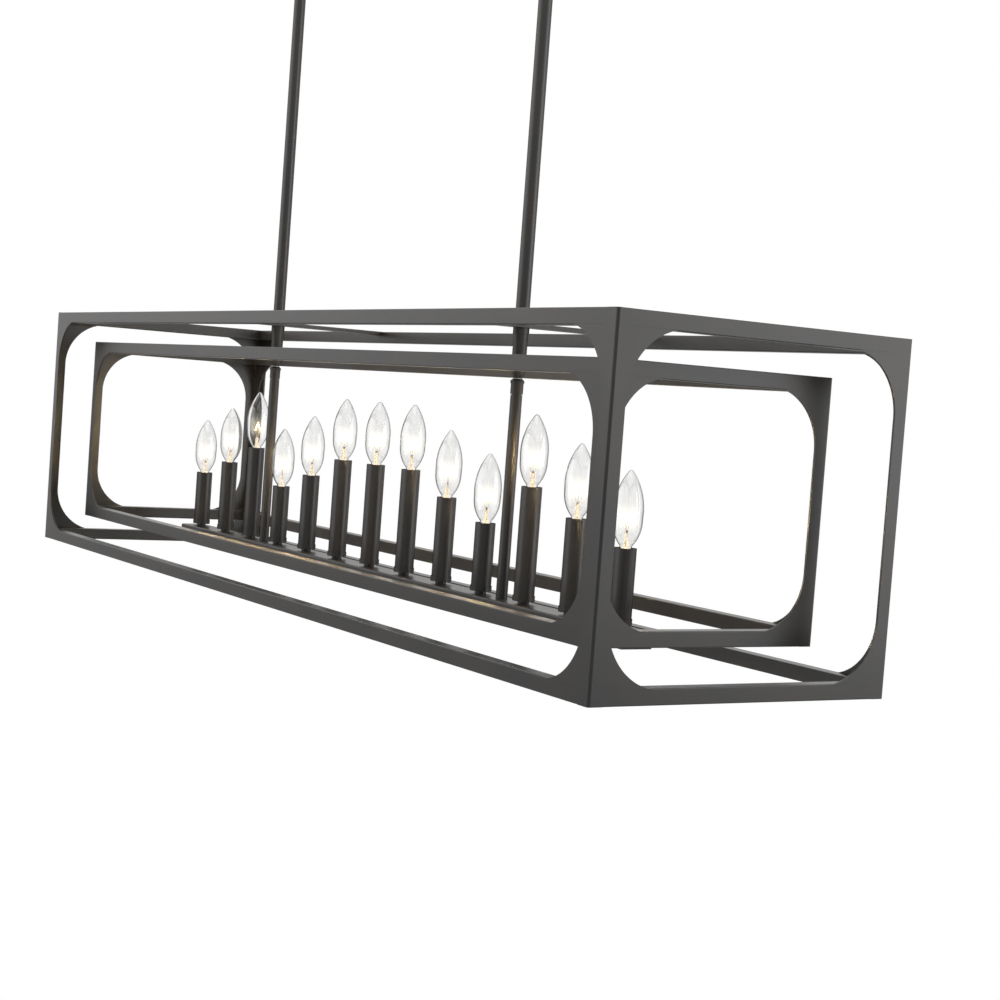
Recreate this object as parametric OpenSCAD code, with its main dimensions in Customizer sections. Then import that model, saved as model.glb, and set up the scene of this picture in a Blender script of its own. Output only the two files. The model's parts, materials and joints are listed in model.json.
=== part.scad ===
// Linear island pendant: two nested open box frames of bent posts and square tube rails
// on two rods, with a light bar of candle sleeves inside. Millimetres, +Z up, X along the fixture.
// The origin is the middle of the ceiling bracket's upper face, on the ceiling.

/* [Frames] */
// Length of the outer frame
outer_l = 1524; // [1400:1:1900]
// Width of the outer frame
outer_w = 356; // [300:1:460]
// Height of the outer frame
outer_h = 356; // [340:1:460]
// Distance from the outer frame's end to the inner frame's end
end_gap = 66; // [40:1:90]
// Distance from the outer frame's side to the inner frame's side
side_gap = 40; // [25:1:60]
// Distance from the outer frame's top to the inner frame's top
level_gap = 42.5; // [30:0.5:50]
// Side of the rails' square tube and of the posts' legs
tube = 16; // [12:0.5:19]
// Wall of the square tube
tube_wall = 1.2; // [1:0.1:2]
// Radius of the square tube's edges
tube_edge_r = 1; // [0.5:0.1:2]
// Thickness of the bent posts
post_t = 2.5; // [1.5:0.1:4]
// Inside radius of the posts' bend
post_bend_r = 0.5; // [0.3:0.1:2]

/* [Corner plates] */
// Radius of the outer frame's corner arcs
outer_arc_r = 65; // [50:1:80]
// Radius of the inner frame's corner arcs
inner_arc_r = 60; // [45:1:75]
// How far an arc's crown would pass the rail's edge
arc_past = 2; // [1:0.5:4]
// Thickness of the corner plates
plate_t = 2.5; // [1.5:0.5:4]
// Width left at a plate's thin tip
plate_tip_w = 0.3; // [0.2:0.1:0.6]

/* [Cross bars] */
// Width of the flat cross bars
strap_w = 25; // [21:1:35]
// Thickness of the flat cross bars
strap_t = 5; // [4:0.5:7]

/* [Candles] */
// Number of candles
candles = 13; // [13]
// Distance from the inner frame's inside to the end candles' centres
row_gap = 124; // [100:1:160]
// Height of the short candles' sleeves above the light bar
short_h = 82.5; // [75:0.5:95]
// Height of the medium candles' sleeves above the light bar
medium_h = 104.5; // [96:0.5:115]
// Height of the tall candles' sleeves above the light bar
tall_h = 131.5; // [120:0.5:140]
// Outside diameter of the sleeves
sleeve_d = 23.6; // [22:0.1:26]
// Wall of the sleeves
sleeve_wall = 0.7; // [0.5:0.1:0.9]
// Height of the neck under each cup
neck_h = 3.5; // [2:0.5:6]
// Diameter of the neck under each cup
neck_d = 13; // [11.5:0.5:16]
// Height of the cup round each sleeve's foot
cup_h = 6; // [4:0.5:9]
// Wall and floor of the cup
cup_wall = 0.7; // [0.5:0.1:1.5]

/* [Light bar] */
// Width of the light bar
bar_w = 38; // [32:1:46]
// Height of the light bar's channel
bar_h = 17; // [15:0.5:24]
// Sheet thickness of the light bar
bar_wall = 1.5; // [1:0.1:2.5]
// Radius of the light bar's long upper edges
bar_edge_r = 2; // [1:0.1:3]
// Length of the light bar beyond the end candles' centres
bar_end = 32; // [20:1:45]
// Thickness of the light bar's cover
cover_t = 1.2; // [0.8:0.1:2]

/* [Rods] */
// Diameter of the hanging rods
rod_d = 16; // [14:0.5:20]
// Wall of the rods
rod_wall = 1.2; // [1:0.1:1.8]
// Length of each upper rod
upper_rod_l = 305; // [150:1:610]
// Length of each lower rod
lower_rod_l = 305; // [150:1:610]
// Diameter of the threaded pipe
pipe_d = 10; // [9:0.5:11]
// Wall of the threaded pipe
pipe_wall = 1.5; // [1:0.1:2]
// Diameter of the collar under each outer cross bar
collar_d = 18.6; // [17:0.1:22]
// Height of that collar
collar_h = 7.5; // [5:0.5:12]
// Diameter of the spacer tube between the frames
spacer_d = 16.6; // [15:0.1:18]
// Diameter of the nut under each inner cross bar
cone_nut_d = 15.6; // [14:0.1:20]
// Length of that nut's straight part
cone_nut_h = 11; // [8:0.5:16]
// Length of that nut's cone
cone_h = 3.8; // [2:0.1:6]
// Diameter of the stems
stem_d = 13.5; // [12.4:0.1:15]
// Diameter of the stem coupling's rim
coupling_rim_d = 16; // [15:0.1:19]
// Diameter of the stem coupling's body
coupling_d = 14.5; // [14:0.1:18]
// Height of the stem coupling
coupling_h = 17.6; // [16:0.1:24]

/* [Ceiling] */
// Distance from each rod to the canopy's end
canopy_end = 55; // [35:1:90]
// Width of the canopy
canopy_w = 120; // [100:1:150]
// Depth of the canopy
canopy_h = 28; // [24:1:40]
// Wall of the canopy
canopy_wall = 1.2; // [0.8:0.1:2]
// Radius of the canopy's corners
canopy_corner_r = 8; // [3:1:15]
// Length of the ceiling bracket
bracket_l = 280; // [200:1:400]
// Width of the ceiling bracket
bracket_w = 30; // [24:1:45]
// Thickness of the ceiling bracket
bracket_t = 2; // [1.5:0.5:4]
// Distance between the two ceiling screws
box_spacing = 88.9; // [70:0.1:100]
// Length of the bracket's slots, end to end
slot_l = 16; // [10:1:22]
// Width of the bracket's slots
slot_w = 4.8; // [4:0.1:6]
// Diameter of the swivel balls
ball_d = 20; // [18:0.5:22]

/* [Bulbs] */
// Largest diameter of the bulbs
bulb_d = 32; // [28:0.5:36]
// Height of the bulb's widest place above the sleeve
bulb_belly_z = 38; // [36:1:46]
// Wall of the bulb's glass
glass_wall = 0.9; // [0.6:0.1:1.2]
// Diameter of the bulb's screw base
base_d = 11.9; // [11:0.1:12.5]
// Length of the bulb's screw base
base_l = 16; // [14:0.5:20]

/* [Hidden] */
$fn = 48;
cut = 1;

// Fits and clearances
thread_gap = 0.1;
ball_gap = 0.05;
socket_gap = 0.1;
cup_gap = 0.15;

// Fastener sizes
hex_sides = 6;
pipe_nut_d = 17;
pipe_nut_h = 4;
pipe_past_nut = 2;
rod_thread_l = 15;
coupling_thread_l = 8;
stem_thread_l = 10;
pipe_bare_l = 0.6;

// Stem coupling and stem details
coupling_bevel_h = 2.5;
coupling_rim_h = 2.8;
cone_end_d = 10.6;
groove_h = 0.8;
tenon_d = 11.5;
stem_bore_d = 6;

// Light bar details
cover_screw_d = 3;
cover_screw_head_d = 6;
cover_screw_head_h = 1.5;
cover_screw_l = 9;
recess_l = 3.6;
recess_w = 0.9;
recess_depth = 1;
boss_d = 7;
boss_shares = [-5.5, -1.5, 1.5, 5.5];

// Candle details
rod_place_share = 3.5;
candle_order = "SMTSMTTTMSTMS";
lamp_socket_clear = 0.9;
lamp_socket_l = 32;
lamp_socket_below = 3.5;
post_into_socket = 6;

// Bulb details
glass_neck_d = 12.6;
glass_neck_below = 3;
contact_d = 6;
contact_l = 1.5;
nose_arc_r = 70;
tip_r = 3;
side_arc_r = 214;
shoulder_below_belly = 13;
foot_arc_r = 40;
arc_steps = 8;

// Ceiling details
stud_x = 120;
stud_d = 4;
stud_collar_d = 8;
stud_collar_h = 2.5;
stud_past_canopy = 6;
cap_nut_d = 10;
cap_nut_skirt_h = 4;
wire_hole_d = 14;
ground_screw_x = 22;
ground_screw_d = 4;
ground_head_d = 8;
ground_head_h = 2.5;

// Swivel details
ball_drop = 9;
flange_d = 36;
flange_h = 3;
socket_d = 28;
swivel_thread_d = 13;
swivel_thread_l = 14;
swivel_bore_d = 8;
swivel_nut_d = 22;
swivel_nut_h = 4;
ring_h = 8;
ring_foot_d = 23;
ring_bevel_h = 2;
mouth_d = 17.2;
mouth_z = 5.3;
mouth_flare_d = 20;
ball_neck_d = 9;
ball_neck_l = 15;
ball_bore_d = 5;

// Places worked out from the sizes above
inner_l = outer_l - 2 * end_gap;
inner_w = outer_w - 2 * side_gap;
inner_h = outer_h - 2 * level_gap;
pitch = (inner_l - 2 * tube - 2 * row_gap) / (candles - 1);
rod_x = rod_place_share * pitch;
canopy_l = 2 * (rod_x + canopy_end);
ball_z = -canopy_h - ball_drop;
rod_top_z = ball_z - ball_neck_l;
rod_joint_z = rod_top_z - upper_rod_l;
outer_top_z = rod_joint_z - lower_rod_l;
mid_z = outer_top_z - outer_h / 2;
inner_top_z = mid_z + inner_h / 2;
collar_z = outer_top_z - strap_t - collar_h;
cone_nut_z = inner_top_z - strap_t - cone_nut_h;
coupling_top_z = cone_nut_z - cone_h - pipe_bare_l;
coupling_z = coupling_top_z - coupling_h;
stem_top_z = coupling_z - groove_h;
bar_top_z = mid_z - inner_h / 2;
bar_z = bar_top_z - bar_h;
bar_l = (candles - 1) * pitch + 2 * bar_end;
cup_z = bar_top_z + neck_h;
first_x = -(candles - 1) * pitch / 2;
belly_r = bulb_d / 2;
lamp_socket_d = sleeve_d - 2 * (sleeve_wall + lamp_socket_clear);

dark = "#3d3b39";
brass = "#b8964c";
zinc = "#a9adb0";
white = "#e6e4de";

function candle_x(i) = first_x + i * pitch;
function candle_h(i) =
    candle_order[i] == "S" ? short_h : candle_order[i] == "M" ? medium_h : tall_h;
function candle_top(i) = bar_top_z + candle_h(i);
function of_kind(kind) = [for (i = [0 : candles - 1]) if (candle_order[i] == kind) i];

// Basic shapes

module ring(outer_d, inner_d, h) {
    linear_extrude(h) difference() {
        circle(d = outer_d);
        circle(d = inner_d);
    }
}

module rounded_rect(l, w, r) {
    square([l - 2 * r, w], center = true);
    square([l, w - 2 * r], center = true);
    for (x = [-1, 1], y = [-1, 1])
        translate([x * (l / 2 - r), y * (w / 2 - r)]) circle(r);
}

module both_rods() {
    for (side = [-1, 1]) translate([side * rod_x, 0, 0]) children();
}

module each_candle(list = [0 : candles - 1]) {
    for (i = list) {
        $candle = i;
        translate([candle_x(i), 0, 0]) children();
    }
}

// Frames

module square_tube(l) {
    translate([0, 0, -l / 2]) linear_extrude(l) difference() {
        rounded_rect(tube, tube, tube_edge_r);
        square(tube - 2 * tube_wall, center = true);
    }
}

// An angle with its outer corner at the origin and its legs along +X and +Y.
module post_outline() {
    outer_r = post_bend_r + post_t;
    translate([outer_r, 0]) square([tube - outer_r, post_t]);
    translate([0, outer_r]) square([post_t, tube - outer_r]);
    translate([outer_r, outer_r]) intersection() {
        difference() {
            circle(outer_r);
            circle(post_bend_r);
        }
        translate([-outer_r, -outer_r]) square(outer_r);
    }
}

module at_corners(l, w) {
    for (x = [0, 1], y = [0, 1])
        mirror([x, 0, 0]) mirror([0, y, 0]) translate([-l / 2, -w / 2, 0]) children();
}

module posts(l, w, h) {
    at_corners(l, w) translate([0, 0, mid_z - h / 2]) linear_extrude(h) post_outline();
}

// Blocks inside the posts' angle, where the rails end.
module blocks(l, w, h) {
    for (z = [-h / 2, h / 2 - tube])
        at_corners(l, w) translate([0, 0, mid_z + z]) linear_extrude(tube) difference() {
            translate([post_t, post_t]) square(tube - post_t);
            post_outline();
        }
}

module long_rails(l, w, h) {
    for (y = [-1, 1], z = [-1, 1])
        translate([0, y * (w - tube) / 2, mid_z + z * (h - tube) / 2])
            rotate([0, 90, 0]) square_tube(l - 2 * tube);
}

module end_rails(l, w, h) {
    for (x = [-1, 1], z = [-1, 1])
        translate([x * (l - tube) / 2, 0, mid_z + z * (h - tube) / 2])
            rotate([90, 0, 0]) square_tube(w - 2 * tube);
}

// A plate fills the corner between a post and a rail, up to an arc that runs into the post.
module corner_plate(r) {
    rise = r - arc_past;
    thin = sqrt(2 * r * plate_tip_w - plate_tip_w * plate_tip_w);
    linear_extrude(plate_t) difference() {
        square([r, rise - thin]);
        translate([r, rise]) circle(r, $fn = 4 * $fn);
    }
}

// The four plates of one upright side, drawn in the plane of that side.
module side_plates(span, h, r) {
    for (x = [0, 1], z = [0, 1])
        mirror([x, 0, 0]) mirror([0, z, 0])
            translate([-span / 2 + tube, -h / 2 + tube, 0]) corner_plate(r);
}

module corner_plates(l, w, h, r) {
    for (y = [0, 1]) mirror([0, y, 0])
        translate([0, -w / 2 + plate_t, mid_z]) rotate([90, 0, 0]) side_plates(l, h, r);
    for (x = [0, 1]) mirror([x, 0, 0])
        translate([l / 2 - plate_t, 0, mid_z]) rotate([90, 0, 90]) side_plates(w, h, r);
}

module outer_posts() { color(dark) posts(outer_l, outer_w, outer_h); }
module outer_long_rails() { color(dark) long_rails(outer_l, outer_w, outer_h); }
module outer_end_rails() { color(dark) end_rails(outer_l, outer_w, outer_h); }
module outer_corner_plates() { color(dark) corner_plates(outer_l, outer_w, outer_h, outer_arc_r); }
module inner_posts() { color(dark) posts(inner_l, inner_w, inner_h); }
module inner_long_rails() { color(dark) long_rails(inner_l, inner_w, inner_h); }
module inner_end_rails() { color(dark) end_rails(inner_l, inner_w, inner_h); }
module inner_corner_plates() { color(dark) corner_plates(inner_l, inner_w, inner_h, inner_arc_r); }

module corner_blocks() {
    color(dark) {
        blocks(outer_l, outer_w, outer_h);
        blocks(inner_l, inner_w, inner_h);
    }
}

module cross_bar(side, w, top_z) {
    color(dark) translate([side * rod_x, 0, top_z - strap_t]) difference() {
        translate([-strap_w / 2, -w / 2 + tube, 0]) cube([strap_w, w - 2 * tube, strap_t]);
        translate([0, 0, -cut]) cylinder(d = pipe_d + 2 * thread_gap, h = strap_t + 2 * cut);
    }
}

// Rods and what hangs under them

// A tube whose ends are thick enough to hold the pipe's thread.
module rod(l) {
    bore_d = pipe_d + 2 * thread_gap;
    difference() {
        cylinder(d = rod_d, h = l);
        translate([0, 0, -cut]) cylinder(d = bore_d, h = l + 2 * cut);
        translate([0, 0, rod_thread_l]) cylinder(d = rod_d - 2 * rod_wall, h = l - 2 * rod_thread_l);
    }
}

module upper_rod(side) {
    color(dark) translate([side * rod_x, 0, rod_joint_z]) rod(upper_rod_l);
}

module lower_rod(side) {
    color(dark) translate([side * rod_x, 0, outer_top_z]) rod(lower_rod_l);
}

module pipe(from_z, to_z) {
    translate([0, 0, from_z]) ring(pipe_d, pipe_d - 2 * pipe_wall, to_z - from_z);
}

module threaded_pipes() {
    color(zinc) both_rods() {
        pipe(rod_joint_z - rod_thread_l, rod_joint_z + rod_thread_l);
        pipe(coupling_top_z - coupling_thread_l, outer_top_z + rod_thread_l);
        pipe(bar_top_z - bar_wall - pipe_nut_h - pipe_past_nut, bar_top_z + stem_thread_l);
    }
}

module cross_bar_collars() {
    color(dark) both_rods() translate([0, 0, collar_z])
        ring(collar_d, pipe_d + 2 * thread_gap, collar_h);
}

module spacer_tube(side) {
    color(dark) translate([side * rod_x, 0, inner_top_z])
        ring(spacer_d, spacer_d - 2 * rod_wall, collar_z - inner_top_z);
}

module cone_nuts() {
    color(dark) both_rods() translate([0, 0, cone_nut_z]) difference() {
        union() {
            cylinder(d = cone_nut_d, h = cone_nut_h);
            translate([0, 0, -cone_h]) cylinder(d1 = cone_end_d, d2 = cone_nut_d, h = cone_h);
        }
        translate([0, 0, -cone_h - cut])
            cylinder(d = pipe_d + 2 * thread_gap, h = cone_h + cone_nut_h + 2 * cut);
    }
}

module stem_couplings() {
    bevel_z = coupling_h - coupling_bevel_h;
    color(dark) both_rods() translate([0, 0, coupling_z]) difference() {
        union() {
            cylinder(d = coupling_d, h = bevel_z);
            translate([0, 0, bevel_z - coupling_rim_h]) cylinder(d = coupling_rim_d, h = coupling_rim_h);
            translate([0, 0, bevel_z])
                cylinder(d1 = coupling_rim_d, d2 = cone_end_d, h = coupling_bevel_h);
        }
        translate([0, 0, -cut]) cylinder(d = tenon_d + 2 * thread_gap, h = coupling_thread_l + cut);
        cylinder(d = stem_bore_d, h = coupling_h);
        translate([0, 0, coupling_h - coupling_thread_l])
            cylinder(d = pipe_d + 2 * thread_gap, h = coupling_thread_l + cut);
    }
}

module stem(side) {
    tenon_l = coupling_thread_l + groove_h;
    color(dark) translate([side * rod_x, 0, bar_top_z]) difference() {
        union() {
            cylinder(d = stem_d, h = stem_top_z - bar_top_z);
            translate([0, 0, stem_top_z - bar_top_z]) cylinder(d = tenon_d, h = tenon_l);
        }
        translate([0, 0, -cut])
            cylinder(d = stem_bore_d, h = stem_top_z - bar_top_z + tenon_l + 2 * cut);
        translate([0, 0, -cut])
            cylinder(d = pipe_d + 2 * thread_gap, h = stem_thread_l + cut);
    }
}

// Light bar

module bar_outline() {
    translate([-bar_w / 2, 0]) square([bar_w, bar_h - bar_edge_r]);
    translate([-bar_w / 2 + bar_edge_r, 0]) square([bar_w - 2 * bar_edge_r, bar_h]);
    for (side = [-1, 1])
        translate([side * (bar_w / 2 - bar_edge_r), bar_h - bar_edge_r]) circle(bar_edge_r);
}

module light_bar() {
    color(dark) translate([0, 0, bar_z]) difference() {
        union() {
            difference() {
                translate([-bar_l / 2, 0, 0]) rotate([90, 0, 90]) linear_extrude(bar_l) bar_outline();
                translate([-bar_l / 2 + bar_wall, -bar_w / 2 + bar_wall, -cut])
                    cube([bar_l - 2 * bar_wall, bar_w - 2 * bar_wall, bar_h - bar_wall + cut]);
            }
            for (share = boss_shares)
                translate([share * pitch, 0, 0]) cylinder(d = boss_d, h = bar_h);
        }
        each_candle() cylinder(d = pipe_d + 2 * thread_gap, h = bar_h + cut);
        both_rods() cylinder(d = pipe_d + 2 * thread_gap, h = bar_h + cut);
        for (share = boss_shares) translate([share * pitch, 0, -cut])
            cylinder(d = cover_screw_d + 2 * thread_gap, h = cover_screw_l - cover_t + cut);
    }
}

module light_bar_cover() {
    color(dark) translate([0, 0, bar_z - cover_t]) difference() {
        translate([-bar_l / 2, -bar_w / 2, 0]) cube([bar_l, bar_w, cover_t]);
        for (share = boss_shares) translate([share * pitch, 0, -cut])
            cylinder(d = cover_screw_d + 2 * thread_gap, h = cover_t + 2 * cut);
    }
}

module cover_screws() {
    color(dark) for (share = boss_shares) translate([share * pitch, 0, bar_z - cover_t]) {
        cylinder(d = cover_screw_d, h = cover_screw_l);
        translate([0, 0, -cover_screw_head_h]) difference() {
            cylinder(d = cover_screw_head_d, h = cover_screw_head_h);
            for (turn = [0, 90]) rotate(turn) translate([-recess_l / 2, -recess_w / 2, -cut])
                cube([recess_l, recess_w, recess_depth + cut]);
        }
    }
}

module pipe_nut() {
    translate([0, 0, bar_top_z - bar_wall - pipe_nut_h]) difference() {
        cylinder(d = pipe_nut_d, h = pipe_nut_h, $fn = hex_sides);
        translate([0, 0, -cut])
            cylinder(d = pipe_d + 2 * thread_gap, h = pipe_nut_h + 2 * cut);
    }
}

module bar_lock_nuts() {
    color(zinc) {
        each_candle() pipe_nut();
        both_rods() pipe_nut();
    }
}

// Candles

module candle_necks() {
    color(dark) each_candle() translate([0, 0, bar_top_z])
        ring(neck_d, pipe_d + 2 * thread_gap, neck_h);
}

module candle_cups() {
    cup_d = sleeve_d + 2 * (cup_gap + cup_wall);
    color(dark) each_candle() translate([0, 0, cup_z]) difference() {
        cylinder(d = cup_d, h = cup_h);
        translate([0, 0, cup_wall]) cylinder(d = sleeve_d + 2 * cup_gap, h = cup_h);
        translate([0, 0, -cut]) cylinder(d = pipe_d + 2 * thread_gap, h = cup_h);
    }
}

module sleeves(kind) {
    foot_z = cup_z + cup_wall;
    color(dark) each_candle(of_kind(kind)) translate([0, 0, foot_z])
        ring(sleeve_d, sleeve_d - 2 * sleeve_wall, candle_top($candle) - foot_z);
}

module socket_posts() {
    below = bar_wall + pipe_nut_h + pipe_past_nut;
    color(zinc) each_candle()
        pipe(bar_top_z - below,
             candle_top($candle) - lamp_socket_below - lamp_socket_l + post_into_socket);
}

module lamp_sockets() {
    bore_l = glass_neck_below + base_l + contact_l - lamp_socket_below;
    color(white) each_candle()
        translate([0, 0, candle_top($candle) - lamp_socket_below - lamp_socket_l]) difference() {
            cylinder(d = lamp_socket_d, h = lamp_socket_l);
            translate([0, 0, lamp_socket_l - bore_l])
                cylinder(d = base_d + 2 * socket_gap, h = bore_l + cut);
            translate([0, 0, -cut])
                cylinder(d = pipe_d + 2 * thread_gap, h = post_into_socket + cut);
        }
}

// Bulb outline: three arcs that run into each other, each drawn skin inside the glass.
// Heights are above the sleeve's top.

belly_c = [belly_r - nose_arc_r, bulb_belly_z];
tip_c = [0, bulb_belly_z + sqrt(pow(nose_arc_r - tip_r, 2) - belly_c[0] * belly_c[0])];
nose_a = atan2(tip_c[1] - belly_c[1], -belly_c[0]);
side_c = [belly_r - side_arc_r, bulb_belly_z];
side_a = asin(shoulder_below_belly / side_arc_r);
foot_c = side_c + (side_arc_r - foot_arc_r) * [cos(side_a), -sin(side_a)];
foot_a = acos((glass_neck_d / 2 - foot_c[0]) / foot_arc_r);

function arc(c, r, from_a, to_a, n) =
    [for (k = [0 : n]) let (a = from_a + (to_a - from_a) * k / n) c + r * [cos(a), sin(a)]];

function bulb_side(skin) = concat(
    [[glass_neck_d / 2 - skin, -glass_neck_below]],
    arc(foot_c, foot_arc_r - skin, -foot_a, -side_a, arc_steps),
    arc(belly_c, nose_arc_r - skin, 0, nose_a, 2 * arc_steps),
    arc(tip_c, tip_r - skin, nose_a + (90 - nose_a) / arc_steps, 90, arc_steps));

function backwards(list) = [for (i = [len(list) - 1 : -1 : 0]) list[i]];

module bulb(i) {
    translate([candle_x(i), 0, candle_top(i)]) {
        color(white, 0.35) rotate_extrude()
            polygon(concat(bulb_side(0), backwards(bulb_side(glass_wall))));
        color(brass) translate([0, 0, -glass_neck_below - base_l]) {
            cylinder(d = base_d, h = base_l);
            translate([0, 0, -contact_l]) cylinder(d = contact_d, h = contact_l);
        }
    }
}

// Ceiling parts

module ceiling_bracket() {
    color(zinc) translate([0, 0, -bracket_t]) linear_extrude(bracket_t) difference() {
        square([bracket_l, bracket_w], center = true);
        for (side = [-1, 1]) {
            translate([side * box_spacing / 2, 0]) {
                square([slot_l - slot_w, slot_w], center = true);
                for (end = [-1, 1]) translate([end * (slot_l - slot_w) / 2, 0]) circle(d = slot_w);
            }
            translate([side * stud_x, 0]) circle(d = stud_d + 2 * thread_gap);
        }
        circle(d = wire_hole_d);
        translate([ground_screw_x, 0]) circle(d = ground_screw_d + 2 * thread_gap);
    }
}

module bracket_studs() {
    l = canopy_h + stud_past_canopy;
    color(zinc) for (side = [-1, 1]) translate([side * stud_x, 0, 0]) {
        translate([0, 0, -l]) cylinder(d = stud_d, h = l);
        translate([0, 0, -bracket_t - stud_collar_h])
            cylinder(d = stud_collar_d, h = stud_collar_h, $fn = hex_sides);
    }
}

module ground_screw() {
    color("#3c8a46") translate([ground_screw_x, 0, 0]) {
        translate([0, 0, -bracket_t]) cylinder(d = ground_screw_d, h = bracket_t);
        translate([0, 0, -bracket_t - ground_head_h])
            cylinder(d = ground_head_d, h = ground_head_h, $fn = hex_sides);
    }
}

module canopy() {
    color(dark) translate([0, 0, -canopy_h]) difference() {
        linear_extrude(canopy_h) rounded_rect(canopy_l, canopy_w, canopy_corner_r);
        translate([0, 0, canopy_wall]) linear_extrude(canopy_h)
            rounded_rect(canopy_l - 2 * canopy_wall, canopy_w - 2 * canopy_wall,
                         canopy_corner_r - canopy_wall);
        both_rods() translate([0, 0, -cut])
            cylinder(d = swivel_thread_d + 2 * thread_gap, h = canopy_wall + 2 * cut);
        for (side = [-1, 1]) translate([side * stud_x, 0, -cut])
            cylinder(d = stud_d + 2 * thread_gap, h = canopy_wall + 2 * cut);
    }
}

module cap_nuts() {
    color(dark) for (side = [-1, 1]) translate([side * stud_x, 0, -canopy_h]) difference() {
        union() {
            translate([0, 0, -cap_nut_skirt_h]) cylinder(d = cap_nut_d, h = cap_nut_skirt_h);
            translate([0, 0, -cap_nut_skirt_h]) intersection() {
                sphere(d = cap_nut_d);
                translate([0, 0, -cap_nut_d]) cylinder(d = cap_nut_d, h = cap_nut_d);
            }
        }
        translate([0, 0, -stud_past_canopy])
            cylinder(d = stud_d + 2 * thread_gap, h = stud_past_canopy + cut);
    }
}

// Swivels: a ball in a socket under the canopy, held by a screwed ring

module swivel_socket(side) {
    color(dark) translate([side * rod_x, 0, ball_z]) difference() {
        union() {
            cylinder(d = socket_d, h = ball_drop);
            translate([0, 0, ball_drop - flange_h]) cylinder(d = flange_d, h = flange_h);
            translate([0, 0, ball_drop]) cylinder(d = swivel_thread_d, h = swivel_thread_l);
        }
        sphere(d = ball_d + 2 * ball_gap);
        cylinder(d = swivel_bore_d, h = ball_drop + swivel_thread_l + cut);
    }
}

module swivel_rings() {
    color(dark) both_rods() translate([0, 0, ball_z - ring_h]) difference() {
        union() {
            translate([0, 0, ring_bevel_h]) cylinder(d = socket_d, h = ring_h - ring_bevel_h);
            cylinder(d1 = ring_foot_d, d2 = socket_d, h = ring_bevel_h);
        }
        intersection() {
            translate([0, 0, ring_h]) sphere(d = ball_d + 2 * ball_gap);
            translate([0, 0, ring_h - mouth_z]) cylinder(d = socket_d, h = ring_h);
        }
        translate([0, 0, -cut]) cylinder(d = mouth_d, h = ring_h);
        translate([0, 0, -cut])
            cylinder(d1 = mouth_flare_d, d2 = mouth_d, h = ring_h - mouth_z + cut);
    }
}

module swivel_lock_nuts() {
    color(zinc) both_rods() translate([0, 0, -canopy_h + canopy_wall]) difference() {
        cylinder(d = swivel_nut_d, h = swivel_nut_h, $fn = hex_sides);
        translate([0, 0, -cut])
            cylinder(d = swivel_thread_d + 2 * thread_gap, h = swivel_nut_h + 2 * cut);
    }
}

module swivel_ball(side) {
    color(dark) translate([side * rod_x, 0, ball_z]) difference() {
        union() {
            sphere(d = ball_d);
            translate([0, 0, -ball_neck_l]) cylinder(d = ball_neck_d, h = ball_neck_l);
            translate([0, 0, -ball_neck_l - rod_thread_l]) cylinder(d = pipe_d, h = rod_thread_l);
        }
        translate([0, 0, -ball_neck_l - rod_thread_l - cut])
            cylinder(d = ball_bore_d, h = ball_neck_l + rod_thread_l + ball_d);
    }
}

ceiling_bracket();
bracket_studs();
ground_screw();
canopy();
cap_nuts();
swivel_socket(-1);  // swivel_socket_left
swivel_socket(1);  // swivel_socket_right
swivel_lock_nuts();
swivel_rings();
swivel_ball(-1);  // swivel_ball_left
swivel_ball(1);  // swivel_ball_right
upper_rod(-1);  // upper_rod_left
upper_rod(1);  // upper_rod_right
lower_rod(-1);  // lower_rod_left
lower_rod(1);  // lower_rod_right
threaded_pipes();
outer_posts();
outer_long_rails();
outer_end_rails();
outer_corner_plates();
inner_posts();
inner_long_rails();
inner_end_rails();
inner_corner_plates();
corner_blocks();
cross_bar(-1, outer_w, outer_top_z);  // outer_cross_bar_left
cross_bar(1, outer_w, outer_top_z);  // outer_cross_bar_right
cross_bar(-1, inner_w, inner_top_z);  // inner_cross_bar_left
cross_bar(1, inner_w, inner_top_z);  // inner_cross_bar_right
cross_bar_collars();
spacer_tube(-1);  // spacer_tube_left
spacer_tube(1);  // spacer_tube_right
cone_nuts();
stem_couplings();
stem(-1);  // stem_left
stem(1);  // stem_right
light_bar();
light_bar_cover();
cover_screws();
bar_lock_nuts();
candle_necks();
candle_cups();
socket_posts();
lamp_sockets();
sleeves("S");  // short_sleeves
sleeves("M");  // medium_sleeves
sleeves("T");  // tall_sleeves
for (i = [1 : candles]) bulb(i - 1);
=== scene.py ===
import json
import math

import bmesh
import bpy
from mathutils import Matrix, Vector


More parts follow.
